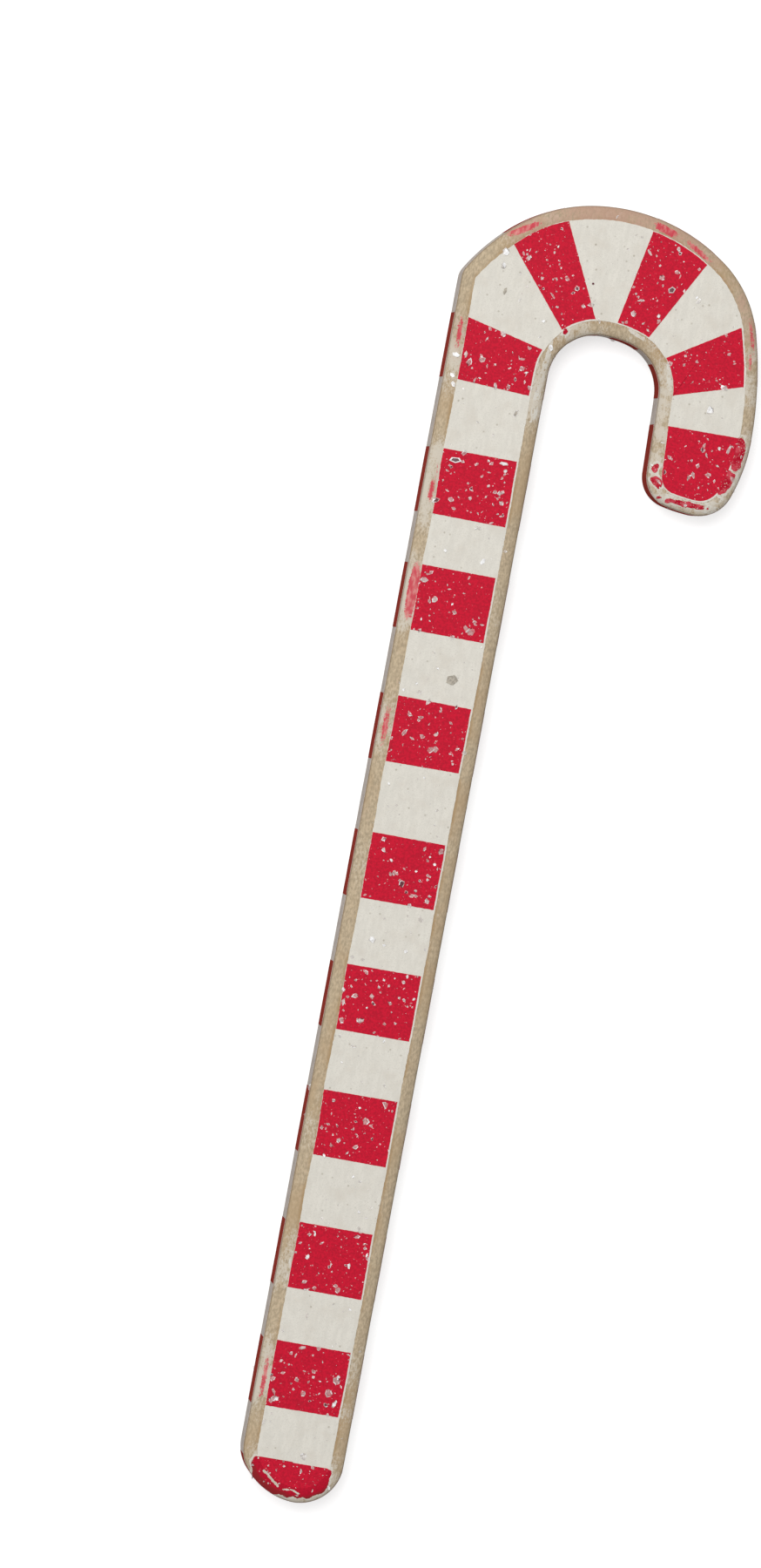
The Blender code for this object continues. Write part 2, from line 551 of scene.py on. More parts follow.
def split_open_edges(piece, longest):
    """In edit mode, divide a sheet's open edges until none is longer than asked."""
    while pick(piece, lambda edge: edge.is_boundary and edge.calc_length() > longest, "edges"):
        bpy.ops.mesh.subdivide(number_cuts=1, ngon=True)


# ---------------------------------------------------------------- the board


def walk_saw_path():
    """Draw the saw's path as a closed wire, from one vertex, by extruding runs and spinning bends."""
    deselect()
    bpy.ops.mesh.primitive_plane_add(size=MM)
    wire = bpy.context.object
    bpy.ops.object.mode_set(mode="EDIT")
    bpy.ops.mesh.merge(type="CENTER")
    bpy.context.tool_settings.mesh_select_mode = (True, False, False)
    place = Vector((0.0, 0.0, 0.0))
    heading = radians(90)
    for stretch in SAW_PATH:
        if len(stretch) == 1:
            step = stretch[0] * Vector((cos(heading), sin(heading), 0.0))
            bpy.ops.mesh.extrude_region_move(TRANSFORM_OT_translate={"value": step})
            place += step
            continue
        radius, turn = stretch
        reach = radius if turn > 0 else -radius
        centre = place + reach * Vector((-sin(heading), cos(heading), 0.0))
        steps = ceil(radius * radians(abs(turn)) / OUTLINE_STEP)
        bpy.ops.mesh.spin(steps=steps, angle=-radians(turn), center=centre, axis=UP)
        heading += radians(turn)
        place = centre - reach * Vector((-sin(heading), cos(heading), 0.0))
    bpy.ops.mesh.select_all(action="SELECT")
    bpy.ops.mesh.remove_doubles(threshold=CLOSING_GAP)
    return wire


def divide_runs(wire):
    """Put points along the straight runs as close as along the bends."""
    for length in [stretch[0] for stretch in SAW_PATH if len(stretch) == 1]:
        if pick(wire, lambda edge: abs(edge.calc_length() - length) < CLOSING_GAP, "edges") != 1:
            raise RuntimeError("a straight run of the outline wasn't found")
        bpy.ops.mesh.subdivide(number_cuts=ceil(length / OUTLINE_STEP) - 1)


def centre_outline(wire):
    """Move the outline so that the middle of its box is over the origin."""
    corners = [vert.co for vert in bmesh.from_edit_mesh(wire.data).verts]
    across = [corner.x for corner in corners]
    along = [corner.y for corner in corners]
    middle = Vector((min(across) + max(across), min(along) + max(along), 0.0)) / 2
    bpy.ops.mesh.select_all(action="SELECT")
    bpy.ops.transform.translate(value=-middle)


def sand(board, side):
    """Round the edge of one flat face (side is 1 for the front, -1 for the back) by insets."""
    width = sizes().sanded_width
    depth = sizes().sanded_depth
    if pick_zones(board, [MIDDLE], side) != 1:
        raise RuntimeError("the face to sand wasn't found")
    inward = 0.0
    outward = 0.0
    for step in SANDED:
        angle = radians(90) * step / SANDED_STEPS
        next_in = width * (1 - cos(angle))
        next_out = depth * sin(angle)
        set_zone(board, step)
        bpy.ops.mesh.inset(thickness=next_in - inward, depth=next_out - outward)
        inward = next_in
        outward = next_out
    set_zone(board, FRINGE)
    bpy.ops.mesh.inset(thickness=PAINT_EDGE, depth=0.0)
    set_zone(board, MARGIN)
    bpy.ops.mesh.inset(thickness=PAINT_MARGIN - PAINT_EDGE, depth=0.0)
    set_zone(board, MIDDLE)


def across_sanding(height):
    """How far in over a sanded edge a height lies: 0 at the sawn side, 1 at the flat face."""
    depth = sizes().sanded_depth
    paint = sizes().ground_coat + sizes().stripe_coat
    from_face = min(height, sizes().thickness - height) - paint
    down = min(max(1 - from_face / depth, 0.0), 1.0)
    return 1 - sqrt(1 - down * down)


def hand_wear(board):
    """Let the sanded edges wander a little, as sandpaper in the hand leaves them."""
    for vert in board.data.vertices:
        drift = Vector((0.0, 0.0, 0.0))
        for amount, scale, seed in HAND_DRIFTS:
            drift += amount * wobble(vert.co, scale, seed)
        vert.co += across_sanding(vert.co.z) * drift


def soaked(place, areas):
    """How strongly soft round areas colour a place, from 0 to 1."""
    strongest = 0.0
    for x, y, reach, strength in areas:
        far = (Vector((x, y)) - place.xy / MM).length / reach
        strongest = max(strongest, strength * (1 - far * far))
    return strongest


def write_numbers(piece, name, number_at):
    """Write a number on each vertex of a piece, worked out from its place, for the materials to read."""
    numbers = [number_at(vert.co) for vert in piece.data.vertices]
    piece.data.attributes.new(name, "FLOAT", "POINT").data.foreach_set("value", numbers)


def primer_at(place):
    """How much whitish primer shows at a place on a sanded edge."""
    streak = 0.5 * ragged(place, *STREAKS) + 0.6 * ragged(place, *FINE_STREAKS)
    soaked_now = soaked(place, PRIMER_AREAS)
    return soaked_now + (0.15 + soaked_now) * streak


def rosy_at(place):
    """How much the wood is tinted with rubbed red at a place on a sanded edge."""
    return soaked(place, ROSY_AREAS) + 0.35 * ragged(place, *ROSY_CLOUDS)


def rubbed_at(place):
    """How deep inside a soft trace of red a place lies, from -1 outside to 1."""
    deepest = max(inside_spot(place, spot) * spot[5] for spot in SOFT_TRACES)
    return min(max(deepest / SOFT_REACH, -1.0), 1.0)


def mark_wear(board):
    """Write on the board how far in over its sanded edge each point lies, and how worn it looks."""
    write_numbers(board, "sanded", lambda place: across_sanding(place.z))
    write_numbers(board, "primer", primer_at)
    write_numbers(board, "rosy", rosy_at)
    write_numbers(board, "rubbed", rubbed_at)


def make_board():
    """The bare board: the outline filled, extruded to its thickness and sanded on both faces."""
    paint = sizes().ground_coat + sizes().stripe_coat
    board = walk_saw_path()
    board.name = "sanded_board"
    board.data.name = "sanded_board"
    divide_runs(board)
    centre_outline(board)
    bpy.ops.mesh.edge_face_add()
    bpy.ops.transform.translate(value=(0.0, 0.0, sizes().sanded_depth + paint))
    wall = sizes().thickness - 2 * (sizes().sanded_depth + paint)
    bpy.ops.mesh.extrude_region_move(TRANSFORM_OT_translate={"value": (0.0, 0.0, wall)})
    bpy.ops.mesh.select_all(action="SELECT")
    bpy.ops.mesh.normals_make_consistent(inside=False)
    bmesh.from_edit_mesh(board.data).faces.layers.int.new("zone")
    pick(board, lambda face: len(face.verts) > 4)
    set_zone(board, MIDDLE)
    sand(board, 1)
    sand(board, -1)
    stop_work()
    hand_wear(board)
    return board


class CANE_OT_board(bpy.types.Operator):
    """Model the sawn and sanded board"""

    bl_idname = "cane.board"
    bl_label = "Sanded board"

    def execute(self, context):
        board = make_board()
        mark_wear(board)
        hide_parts("cane")
        finish(board, [bare_wood()], BOARD_CREASE)
        return {"FINISHED"}


def the_board():
    """The board, which every coat of paint is taken from."""
    board = bpy.data.objects.get("sanded_board")
    if board is None:
        raise RuntimeError("make the sanded board first")
    return board


# ---------------------------------------------------------------- coats of paint


class CANE_OT_ground_coat(bpy.types.Operator):
    """Lay the cream ground coat on both faces and round the sawn side"""

    bl_idname = "cane.ground_coat"
    bl_label = "Cream ground coat"

    def execute(self, context):
        face_paint = cream_paint()
        for name, side in (("cream_front", 1), ("cream_back", -1)):
            coat = sheet_of(the_board(), name, [FRINGE, MARGIN, MIDDLE], side)
            work_on(coat)
            make_one_face(coat)
            split_open_edges(coat, FRAYED_PIECE)
            stop_work()
            fray(coat, *COAT_FRAY, COAT_SEED + side)
            thicken(coat, sizes().ground_coat)
            finish(coat, [face_paint])
        coat = sheet_of(the_board(), "cream_side", [WALL])
        fray(coat, *SIDE_FRAY, SIDE_SEED)
        thicken(coat, SIDE_COAT)
        # The sawn side's cream is a darker copy of the face's cream, as painted shade.
        finish(coat, [side_paint("side_cream", colours().side_cream)])
        return {"FINISHED"}


def brush_lines():
    """Each red stripe's middle and the two brush lines that bound it, as pairs of points."""
    shaft = the_board().data.vertices
    left = min(vert.co.x for vert in shaft)
    reach = Vector((left, 0.0, 0.0)), Vector((left + 2 * SHAFT_MIDDLE, 0.0, 0.0))
    stripes = []
    for line_a, line_b in CROOK_STRIPES:
        points = [Vector((x, y, 0.0)) * MM for x, y in line_a + line_b]
        stripes.append((sum(points, Vector()) / 4, points[:2], points[2:]))
    for index, height in enumerate(SHAFT_STRIPES):
        lines = []
        for edge in (-1, 1):
            level = Vector((0.0, height + edge * STRIPE_HEIGHT / 2, 0.0))
            tilt = Vector((0.0, BRUSH_TILT * sin(5.0 * index + edge), 0.0))
            lines.append([reach[0] + level - tilt, reach[1] + level + tilt])
        middle = Vector((left + SHAFT_MIDDLE, height, 0.0))
        stripes.append((middle, lines[0], lines[1]))
    top = Vector((0.0, FOOT_STRIPE_TOP, 0.0))
    below = Vector((0.0, FOOT_STRIPE_TOP - STRIPE_REACH, 0.0))
    middle = Vector((left + SHAFT_MIDDLE, FOOT_STRIPE_TOP - STRIPE_REACH / 2, 0.0))
    stripes.append((middle, [reach[0] + below, reach[1] + below], [reach[0] + top, reach[1] + top]))
    return stripes


def cut_to_stripe(sheet, middle, lines):
    """In edit mode, cut a sheet along two brush lines and keep what is between them."""
    for start, end in lines:
        across = UP.cross(end - start).normalized()
        if across.dot(middle - start) < 0:
            across = -across
        bpy.ops.mesh.select_all(action="SELECT")
        bpy.ops.mesh.bisect(plane_co=start, plane_no=across, clear_inner=True)
    flat_middle = middle.xy
    if pick(sheet, lambda face: (face.calc_center_median().xy - flat_middle).length > STRIPE_REACH):
        bpy.ops.mesh.delete(type="FACE")


def make_one_face(sheet):
    """In edit mode, dissolve a flat sheet's inner edges and weld the shortest edges of its outline."""
    bpy.ops.mesh.select_all(action="SELECT")
    bpy.ops.mesh.dissolve_faces()
    bpy.ops.mesh.select_all(action="SELECT")
    bpy.ops.mesh.remove_doubles(threshold=SHORTEST_EDGE)


def thin_the_rim(patch):
    """In edit mode, give a painted patch a narrow rim where the paint is thin."""
    bpy.ops.mesh.select_all(action="SELECT")
    bpy.ops.mesh.inset(thickness=THIN_RIM, depth=0.0, use_even_offset=False)
    bpy.ops.mesh.select_all(action="INVERT")
    mesh = bmesh.from_edit_mesh(patch.data)
    for face in mesh.faces:
        if face.select:
            face.material_index = RIM_FINISH
    bmesh.update_edit_mesh(patch.data)


def paint_stripe(index, middle, lines, finishes):
    """One red stripe: a patch on each face and, between them, the paint on the sawn side."""
    parts = []
    for side in (1, -1):
        patch = sheet_of(the_board(), "patch", [MARGIN, MIDDLE], side)
        give_materials(patch, finishes)
        work_on(patch)
        cut_to_stripe(patch, middle, lines)
        make_one_face(patch)
        bpy.ops.mesh.select_all(action="SELECT")
        bpy.ops.transform.translate(value=MASK_SHIFT)
        split_open_edges(patch, FRAYED_PIECE)
        stop_work()
        fray(patch, *STRIPE_FRAY, STRIPE_SEED + index + side)
        work_on(patch)
        thin_the_rim(patch)
        stop_work()
        thicken(patch, sizes().ground_coat + sizes().stripe_coat)
        parts.append(patch)
    wall = sheet_of(the_board(), "side_patch", [WALL])
    give_materials(wall, finishes)
    work_on(wall)
    cut_to_stripe(wall, middle, lines)
    stop_work()
    fray(wall, *SIDE_STRIPE_FRAY, SIDE_SEED)
    thicken(wall, SIDE_COAT + sizes().stripe_coat)
    for face in wall.data.polygons:
        face.material_index = SIDE_FINISH
    parts.append(wall)
    return join(parts, f"red_stripe_{index + 1:02d}")


class CANE_OT_red_stripes(bpy.types.Operator):
    """Paint the red stripes of the crook and the shaft"""

    bl_idname = "cane.red_stripes"
    bl_label = "Red stripes"

    def execute(self, context):
        # The sawn side's red is a darker copy of the stripes' red, as painted shade.
        finishes = [red_paint(), thin_red_paint(), side_paint("side_red", colours().side_red)]
        for index, (middle, lower, upper) in enumerate(brush_lines()):
            stripe = paint_stripe(index, middle, (lower, upper), finishes)
            finish(stripe, finishes)
        return {"FINISHED"}


# ---------------------------------------------------------------- traces on the sanded edges


def inside_spot(place, spot):
    """How far a place lies inside a rounded oblong, in metres, below zero outside it."""
    x, y, half_length, half_width, angle = spot[:5]
    away = Vector((place.x / MM - x, place.y / MM - y))
    turn = radians(angle)
    along = abs(away.x * cos(turn) + away.y * sin(turn)) / half_length
    over = abs(away.y * cos(turn) - away.x * sin(turn)) / half_width
    reach = (along ** 3 + over ** 3) ** (1 / 3)
    return (1 - reach) * min(half_length, half_width) * MM


def red_is_left(place):
    """Whether red paint is left at a place on a sanded edge."""
    rough = 0.22 * MM * ragged(place, *RED_EDGE)
    worn = ragged(place, *RED_WEAR) * 0.6 + ragged(place, *BROAD_RED_WEAR) * 0.6
    return any(inside_spot(place, spot) + rough > 0 and worn < spot[5] for spot in RED_TRACES)


def foot_is_red(place):
    """Whether the red that runs over the foot's sanded edge reaches a place."""
    rough = 0.30 * MM * ragged(place, *FOOT_EDGE) + 0.12 * MM * ragged(place, *FINE_FOOT_EDGE)
    below_line = FOOT_STRIPE_TOP - place.y > 0.3 * MM * ragged(place, *FOOT_LINE)
    torn = any(inside_spot(place, scratch) + 0.4 * rough > 0 for scratch in FOOT_SCRATCHES)
    return below_line and inside_spot(place, FOOT_RED) + rough > 0 and not torn


def foot_is_cream(place):
    """Whether the cream that shows round the foot's red reaches a place."""
    rough = 0.30 * MM * ragged(place, *FOOT_EDGE) + 0.15 * MM * ragged(place, *FINE_CREAM_EDGE)
    below_line = place.y < FOOT_STRIPE_TOP + 0.4 * MM
    torn = any(inside_spot(place, scratch) > 0 for scratch in FOOT_SCRATCHES[:1])
    return below_line and inside_spot(place, FOOT_RED) + rough > -0.25 * MM and not torn


def cream_is_left(place):
    """Whether cream paint is left at a place on a sanded edge: in spots, and round the red."""
    rough = 0.2 * MM * ragged(place, *CREAM_EDGE)
    worn = ragged(place, *CREAM_WEAR)
    if any(inside_spot(place, spot) + rough > 0 for spot in CREAM_TRACES):
        return worn < 0.45
    return any(inside_spot(place, spot) + rough > -0.28 * MM and worn < spot[6] for spot in RED_TRACES)


def leave_traces(name, is_left, zones, thickness):
    """A film of paint on the sanded edges of both faces, wherever a test says some is left."""
    parts = []
    for side in (1, -1):
        film = sheet_of(the_board(), name, zones, side)
        work_on(film)
        bpy.ops.mesh.select_all(action="SELECT")
        bpy.ops.mesh.subdivide(number_cuts=2)
        pick(film, lambda face: not is_left(face.calc_center_median()))
        bpy.ops.mesh.delete(type="FACE")
        pick(film, lambda vert: vert.is_boundary, "verts")
        bpy.ops.mesh.vertices_smooth(factor=0.5, repeat=2)
        stop_work()
        thicken(film, thickness)
        parts.append(film)
    return join(parts, name)


class CANE_OT_cream_traces(bpy.types.Operator):
    """Leave traces of cream paint on the sanded edges"""

    bl_idname = "cane.cream_traces"
    bl_label = "Cream traces"

    def execute(self, context):
        film = leave_traces("cream_traces", cream_is_left, SANDED, CREAM_FILM)
        finish(film, [worn_cream_paint()])
        film = leave_traces("cream_foot", foot_is_cream, [*SANDED, FRINGE], CREAM_FILM)
        finish(film, [worn_cream_paint()])
        return {"FINISHED"}


class CANE_OT_red_traces(bpy.types.Operator):
    """Leave traces of red paint on the sanded edges"""

    bl_idname = "cane.red_traces"
    bl_label = "Red traces"

    def execute(self, context):
        film = leave_traces("red_traces", red_is_left, [*SANDED, FRINGE, MARGIN], RED_FILM)
        finish(film, [worn_red_paint()])
        film = leave_traces("red_foot", foot_is_red, [*SANDED, FRINGE, MARGIN], RED_FILM)
        finish(film, [foot_red_paint()])
        return {"FINISHED"}


# ---------------------------------------------------------------- mica flakes


def flake_shape(corners):
    """Corner points and faces of one flake a metre across: a thin plate with a rim round its top."""
    deselect()
    bpy.ops.mesh.primitive_circle_add(vertices=corners, radius=0.5, fill_type="NGON")
    flake = bpy.context.object
    bpy.ops.object.mode_set(mode="EDIT")
    bpy.ops.mesh.select_all(action="SELECT")
    bpy.ops.mesh.extrude_region_move(TRANSFORM_OT_translate={"value": (0.0, 0.0, FLAKE_THICKNESS)})
    bpy.ops.mesh.inset(thickness=FLAKE_RIM, depth=0.0)
    stop_work()
    points = [vert.co.copy() for vert in flake.data.vertices]
    faces = [(tuple(face.vertices), face_part(face, corners)) for face in flake.data.polygons]
    bpy.data.objects.remove(flake)
    return points, faces


def face_part(face, corners):
    """Which part of a flake a face is: its middle, its rim, or its side and bottom."""
    if face.center.z < 0.9 * FLAKE_THICKNESS:
        return "side"
    return "middle" if len(face.vertices) == corners and face.center.xy.length < 0.1 else "rim"


def landing_spots(count, side, seed):
    """Random places on the cane, the surface's direction and whether it is red, more on the red."""
    draw = random.Random(seed)
    low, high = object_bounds()
    depsgraph = bpy.context.evaluated_depsgraph_get()
    height = (high.z if side > 0 else low.z) + side * RAY_RUN
    spots = []
    while len(spots) < count:
        start = Vector((draw.uniform(low.x, high.x), draw.uniform(low.y, high.y), height))
        hit, place, normal, _, piece, _ = bpy.context.scene.ray_cast(depsgraph, start, -side * UP)
        chance = FLAKES_HELD.get(piece.name.split("_")[0], 0.0) if hit else 0.0
        if draw.random() < chance and normal.z * side > FLAT_ENOUGH:
            spots.append((place + normal * FLAKE_LIFT, normal, piece.name.startswith("red")))
    return spots


def standing_on(normal):
    """The matrix that stands a flake on a surface."""
    return normal.to_track_quat("Z", "Y").to_matrix().to_4x4()


def lay_flake(place, normal, span, tilt, draw):
    """The matrix that turns, tilts, stretches and sets down one flake."""
    axis = Vector((draw.uniform(-1, 1), draw.uniform(-1, 1), 0.0))
    lean = Matrix.Rotation(radians(draw.uniform(0, tilt)), 4, axis)
    spin = Matrix.Rotation(radians(draw.uniform(0, 360)), 4, "Z")
    stretch = Matrix.Diagonal((span, span * draw.uniform(0.35, 1.0), span, 1.0))
    return Matrix.Translation(place) @ standing_on(normal) @ lean @ spin @ stretch


def flake_piece(name, points, faces, looks):
    """The piece that holds many flakes, with a look for each facet."""
    data = bpy.data.meshes.new(name)
    data.from_pydata(points, [], faces)
    data.polygons.foreach_set("material_index", looks)
    flakes = bpy.data.objects.new(name, data)
    bpy.context.scene.collection.objects.link(flakes)
    return flakes


def scatter_flakes(name, spots, shape, spans, tilt, seed):
    """One mesh of many flakes, each with its own size, outline, turn and painted glints."""
    draw = random.Random(seed)
    shape_points, shape_faces = shape
    corners = len(shape_points) // 3
    points = []
    faces = []
    looks = []
    for place, normal, on_red in spots:
        span = spans[0] + (spans[1] - spans[0]) * draw.random() ** FEW_LARGE
        laid = lay_flake(place, normal, span, tilt, draw)
        pulls = [draw.uniform(0.5, 1.15) for _ in range(corners)]
        first = len(points)
        for index, point in enumerate(shape_points):
            pull = pulls[index % corners]
            points.append(laid @ Vector((point.x * pull, point.y * pull, point.z)))
        for face, part in shape_faces:
            faces.append([first + corner for corner in face])
            look = draw.choices(FACET_LOOKS, FACET_SHARES[part])[0]
            # Off the red, a painted dark reflection turns into a painted glint.
            looks.append(look if on_red else min(look, PAINTED_GLINT))
    return flake_piece(name, points, faces, looks)


def lay_large_flakes(name, shape):
    """One mesh of the largest flakes, each where and as it lies on the face."""
    shape_points, shape_faces = shape
    depsgraph = bpy.context.evaluated_depsgraph_get()
    points = []
    faces = []
    looks = []
    for x, y, length, width, angle, middle, rim in LARGE_FLAKES:
        start = Vector((x * MM, y * MM, sizes().thickness + RAY_RUN))
        hit, place, normal, _, _, _ = bpy.context.scene.ray_cast(depsgraph, start, -UP)
        if not hit:
            raise RuntimeError("a large flake misses the cane")
        stretch = Matrix.Diagonal((length * MM, width * MM, length * MM, 1.0))
        lift = Matrix.Translation(place + normal * FLAKE_LIFT)
        spin = Matrix.Rotation(radians(angle), 4, "Z")
        laid = lift @ standing_on(normal) @ spin @ stretch
        first = len(points)
        points.extend(laid @ point for point in shape_points)
        for face, part in shape_faces:
            faces.append([first + corner for corner in face])
            looks.append(middle if part == "middle" else rim)
    return flake_piece(name, points, faces, looks)


class CANE_OT_mica(bpy.types.Operator):
    """Sprinkle mica flakes on both faces"""

    bl_idname = "cane.mica"
    bl_label = "Mica flakes"

    def execute(self, context):
        looks = [mica_finish(*look) for look in MICA_LOOKS]
        for index, (name, share, corners, spans, tilt) in enumerate(FLAKE_KINDS):
            count = round(sizes().flakes * share)
            spots = []
            for side, seed in SPOT_SEEDS.items():
                spots += landing_spots(count, side, seed + index)
            shape = flake_shape(corners)
            flakes = scatter_flakes(name, spots, shape, spans, tilt, FLAKE_SEED + index)
            finish(flakes, looks, FLAKE_CREASE)
        large = lay_large_flakes("mica_large", flake_shape(LARGE_CORNERS))
        finish(large, looks, FLAKE_CREASE)
        return {"FINISHED"}


# ---------------------------------------------------------------- materials


def linear(colour):
    """A display colour as the shader's linear colour, with full alpha."""
    value = Color(tuple(colour)).from_srgb_to_scene_linear()
    return value.r, value.g, value.b, 1.0


def tinted(colour, factor):
    """A display colour made lighter or darker."""
    return [min(part * factor, 1.0) for part in colour]


class Finish:
    """A material under construction, with short ways to add the nodes that the finishes share."""

    def __init__(self, name, roughness, gloss=0.3):
        self.material = bpy.data.materials.new(name)
        self.material.use_nodes = True
        self.tree = self.material.node_tree
        self.shader = self.tree.nodes["Principled BSDF"]
        self.shader.inputs["Roughness"].default_value = roughness
        self.shader.inputs["Specular IOR Level"].default_value = gloss
        self.place = self.tree.nodes.new("ShaderNodeTexCoord").outputs["Object"]

    def link(self, source, target):
        """Join two sockets."""
        self.tree.links.new(source, target)

    def stretched(self, scale):
        """The place on the piece, stretched by a scale along each axis."""
        mapping = self.tree.nodes.new("ShaderNodeMapping")
        mapping.inputs["Scale"].default_value = scale
        self.link(self.place, mapping.inputs["Vector"])
        return mapping.outputs["Vector"]

    def grain(self, size, detail=3.0, stretch=(1.0, 1.0, 1.0)):
        """Cloudy noise whose features are about size metres across."""
        cloud = self.tree.nodes.new("ShaderNodeTexNoise")
        cloud.inputs["Scale"].default_value = 1.0 / size
        cloud.inputs["Detail"].default_value = detail
        cloud.inputs["Roughness"].default_value = CLOUD_ROUGHNESS
        self.link(self.stretched(stretch), cloud.inputs["Vector"])
        return cloud.outputs["Fac"]

    def specks(self, spacing):
        """Distance from scattered points about spacing metres apart, in spacings."""
        cells = self.tree.nodes.new("ShaderNodeTexVoronoi")
        cells.inputs["Scale"].default_value = 1.0 / spacing
        self.link(self.place, cells.inputs["Vector"])
        return cells.outputs["Distance"]

    def attribute(self, name):
        """A number that the piece's mesh carries."""
        node = self.tree.nodes.new("ShaderNodeAttribute")
        node.attribute_name = name
        return node.outputs["Fac"]

    def ramp(self, value, low, high, from_zero=True):
        """A number that goes from 0 to 1 while value goes from low to high, or from 1 to 0."""
        node = self.tree.nodes.new("ShaderNodeMapRange")
        node.interpolation_type = "SMOOTHSTEP"
        node.inputs["From Min"].default_value = low
        node.inputs["From Max"].default_value = high
        node.inputs["To Min"].default_value = 0.0 if from_zero else 1.0
        node.inputs["To Max"].default_value = 1.0 if from_zero else 0.0
        self.link(value, node.inputs["Value"])
        return node.outputs["Result"]

    def sum(self, first, second):
        """Two numbers added."""
        return self.worked_out("ADD", first, second)

    def times(self, first, second):
        """Two numbers multiplied."""
        return self.worked_out("MULTIPLY", first, second)

    def worked_out(self, operation, first, second):
        """Two numbers joined by an operation, each a plain number or a socket."""
        node = self.tree.nodes.new("ShaderNodeMath")
        node.operation = operation
        for socket, value in zip(node.inputs, (first, second)):
            if isinstance(value, (int, float)):
                socket.default_value = value
            else:
                self.link(value, socket)
        return node.outputs["Value"]

    def mix(self, amount, first, second):
        """A blend of two colours, each a display colour or a socket, by a number from 0 to 1."""
        node = self.tree.nodes.new("ShaderNodeMix")
        node.data_type = "RGBA"
        node.clamp_factor = True
        self.link(amount, node.inputs["Factor"])
        for name, value in (("A", first), ("B", second)):
            socket = [item for item in node.inputs if item.name == name and item.type == "RGBA"][0]
            if isinstance(value, bpy.types.NodeSocket):
                self.link(value, socket)
            else:
                socket.default_value = linear(value)
        return [item for item in node.outputs if item.type == "RGBA"][0]

    def paint(self, colour):
        """Use a colour socket as the base colour."""
        self.link(colour, self.shader.inputs["Base Color"])

    def relief(self, height, strength, distance):
        """Raise and lower the surface a little by a number."""
        bump = self.tree.nodes.new("ShaderNodeBump")
        bump.inputs["Strength"].default_value = strength
        bump.inputs["Distance"].default_value = distance
        self.link(height, bump.inputs["Height"])
        self.link(bump.outputs["Normal"], self.shader.inputs["Normal"])

    def sheen_of(self, value, low, high):
        """Let the roughness wander between two values."""
        node = self.tree.nodes.new("ShaderNodeMapRange")
        node.inputs["To Min"].default_value = low
        node.inputs["To Max"].default_value = high
        self.link(value, node.inputs["Value"])
        self.link(node.outputs["Result"], self.shader.inputs["Roughness"])


def bare_wood():
    """Sanded wood: fine fibres, brown lines along its inner rims, whitish primer, rosy rubbed paint, and
    painted shade along its outer rim, where it turns down to the sawn side.
    """
    look = Finish("bare_wood", 0.85, 0.04)
    wood = colours().wood
    fibres = look.grain(0.3 * MM, 4.0, (1.0, 0.5, 1.0))
    clouds = look.grain(5 * MM, 3.0, (1.0, 0.5, 1.0))
    dust = look.grain(0.2 * MM, 3.0)
    colour = look.mix(look.ramp(fibres, 0.3, 0.7), tinted(wood, 0.90), tinted(wood, 1.08))
    colour = look.mix(look.times(look.ramp(clouds, 0.42, 0.7), 0.6), colour, BROWN_WOOD)
    across = look.attribute("sanded")
    brown = look.times(look.ramp(across, 0.72, 0.9), look.ramp(clouds, 0.4, 0.6))
    colour = look.mix(look.times(brown, 0.6), colour, DARK_WOOD)
    speckle = look.sum(look.sum(fibres, dust), -1.0)
    grey = look.sum(look.attribute("primer"), speckle)
    colour = look.mix(look.times(look.ramp(grey, 0.15, 0.7), 0.9), colour, colours().primer)
    pink = look.sum(look.attribute("rosy"), speckle)
    colour = look.mix(look.times(look.ramp(pink, 0.15, 0.9), 0.7), colour, ROSY_WOOD)
    red = look.sum(look.attribute("rubbed"), look.times(speckle, 1.3))
    thin = look.grain(0.6 * MM, 3.0, (1.0, 0.4, 1.0))
    rubbed = look.mix(look.ramp(thin, 0.42, 0.75), colours().worn_red, PALE_RED)
    colour = look.mix(look.times(look.ramp(red, 0.05, 0.4), 0.95), colour, rubbed)
    # Painted shade: the wood darkens towards the sawn side, where the edge turns down.
    rim = look.ramp(across, 0.0, 0.1, from_zero=False)
    colour = look.mix(look.times(rim, 0.6), colour, SHADED_EDGE_WOOD)
    look.paint(colour)
    look.relief(look.sum(fibres, dust), 0.35, 0.05 * MM)
    return look.material


def cream_paint():
    """The ground coat: faintly brushed, with fine weave-like dust, grey flecks and pale stains."""
    look = Finish("cream_paint", 0.6, 0.2)
    cream = colours().cream
    strokes = look.grain(0.6 * MM, 4.0, (1.0, 0.25, 1.0))
    clouds = look.grain(3 * MM, 3.0)
    dust = look.grain(0.18 * MM, 2.0)
    colour = look.mix(look.ramp(strokes, 0.3, 0.7), tinted(cream, 0.98), tinted(cream, 1.015))
    colour = look.mix(look.times(look.ramp(clouds, 0.45, 0.75), 0.7), colour, STAINED_CREAM)
    colour = look.mix(look.ramp(dust, 0.45, 0.8), colour, tinted(cream, 0.94))
    spots = look.times(look.ramp(look.specks(1.6 * MM), 0.05, 0.14, from_zero=False), clouds)
    colour = look.mix(spots, colour, GREY_FLECK)
    look.paint(colour)
    look.sheen_of(clouds, 0.5, 0.7)
    look.relief(look.sum(strokes, dust), 0.25, 0.03 * MM)
    return look.material


def mottled_red(look, red):
    """Red brushed paint with small darker and lighter mottles and pale dust."""
    fine = look.grain(0.3 * MM, 3.0)
    clouds = look.grain(2.2 * MM, 3.0)
    colour = look.mix(look.ramp(fine, 0.35, 0.65), tinted(red, 0.93), tinted(red, 1.06))
    dark = look.times(look.ramp(clouds, 0.62, 0.78), 0.5)
    colour = look.mix(dark, colour, DARK_MOTTLE)
    pale = look.times(look.ramp(look.specks(0.8 * MM), 0.05, 0.13, from_zero=False), 0.45)
    return look.mix(pale, colour, PALE_DUST), fine, clouds


